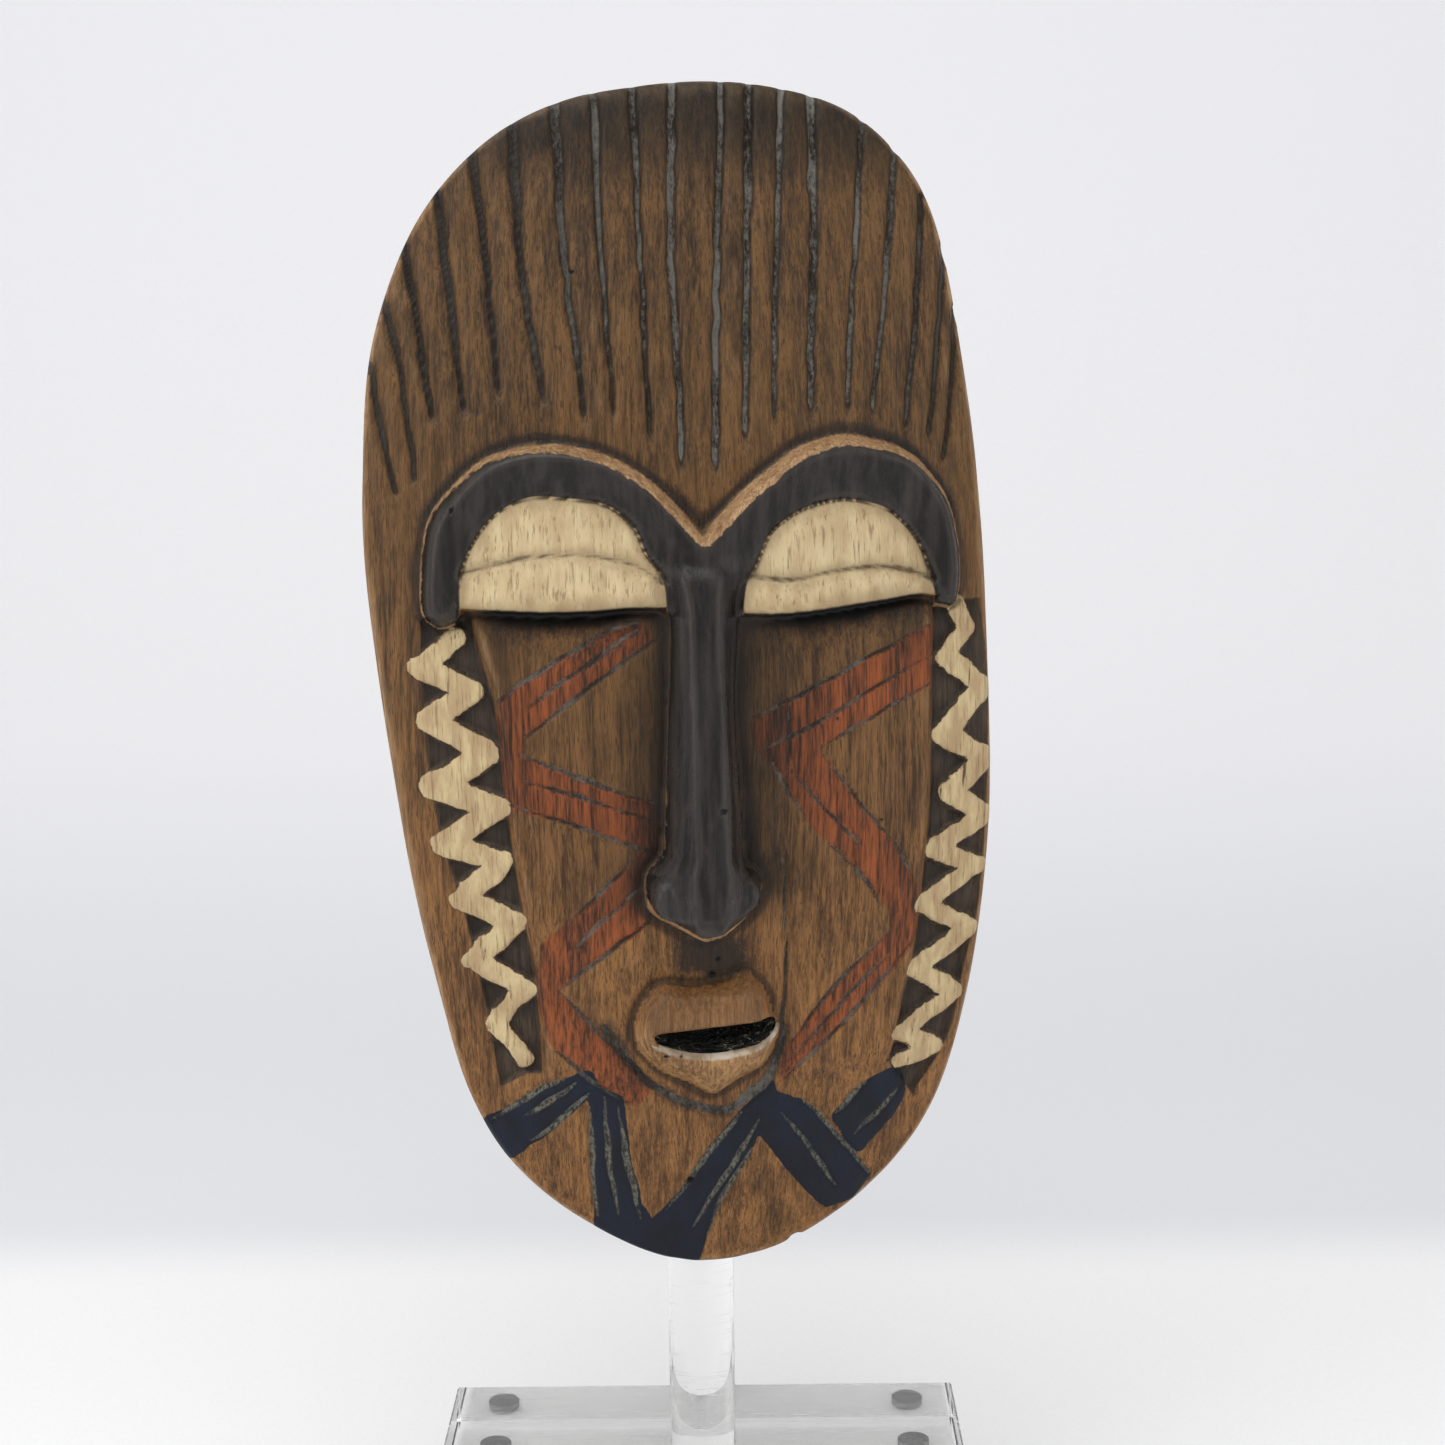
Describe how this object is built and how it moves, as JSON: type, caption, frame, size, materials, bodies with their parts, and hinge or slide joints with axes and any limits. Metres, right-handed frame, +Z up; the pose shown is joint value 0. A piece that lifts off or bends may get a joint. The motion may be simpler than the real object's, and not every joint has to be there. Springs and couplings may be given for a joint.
{
  "type": "carved mask on display stand",
  "caption": "Carved and painted wooden face mask with a hollow back, held upright on a clear acrylic rod that turns in a clear acrylic base block.",
  "frame": {"origin": "in the middle of the base block's flat underside, on the axis of the upright rod; the feet stand out 2.4 mm below it", "axes": "+Z up along the rod, which is the object's longest way; +Y towards the back of the stand, its shortest way; +X to the right as seen from the front. At rest the mask is turned 8 degrees about +Z from facing -Y, towards +X"},
  "size_m": [0.1705, 0.0897, 0.422],
  "materials": {
    "painted_wood": "carved wood, stained brown with painted cream, orange, navy and black parts",
    "raw_wood": "bare sawn wood",
    "clear_acrylic_rod": "polished clear acrylic rod",
    "clear_acrylic_block": "polished clear acrylic",
    "steel_washer": "satin steel",
    "brass_screw": "dull brass",
    "rubber_foot": "matt grey rubber"
  },
  "bodies": {
    "stand": {"base_block": "clear_acrylic_block", "foot_front_left": "rubber_foot", "foot_front_right": "rubber_foot", "foot_rear_left": "rubber_foot", "foot_rear_right": "rubber_foot"},
    "turning": {"mask_shell": "painted_wood", "mounting_block": "raw_wood", "post": "clear_acrylic_rod", "mask_screw_lower": "brass_screw", "mask_screw_upper": "brass_screw", "washer_lower": "steel_washer", "washer_upper": "steel_washer"}
  },
  "joints": [
    {"name": "post_swivel", "type": "hinge", "parent": "stand", "child": "turning", "pos_m": [0, 0, 0.01175], "axis": [0, 0, 1], "continuous": true}
  ]
}
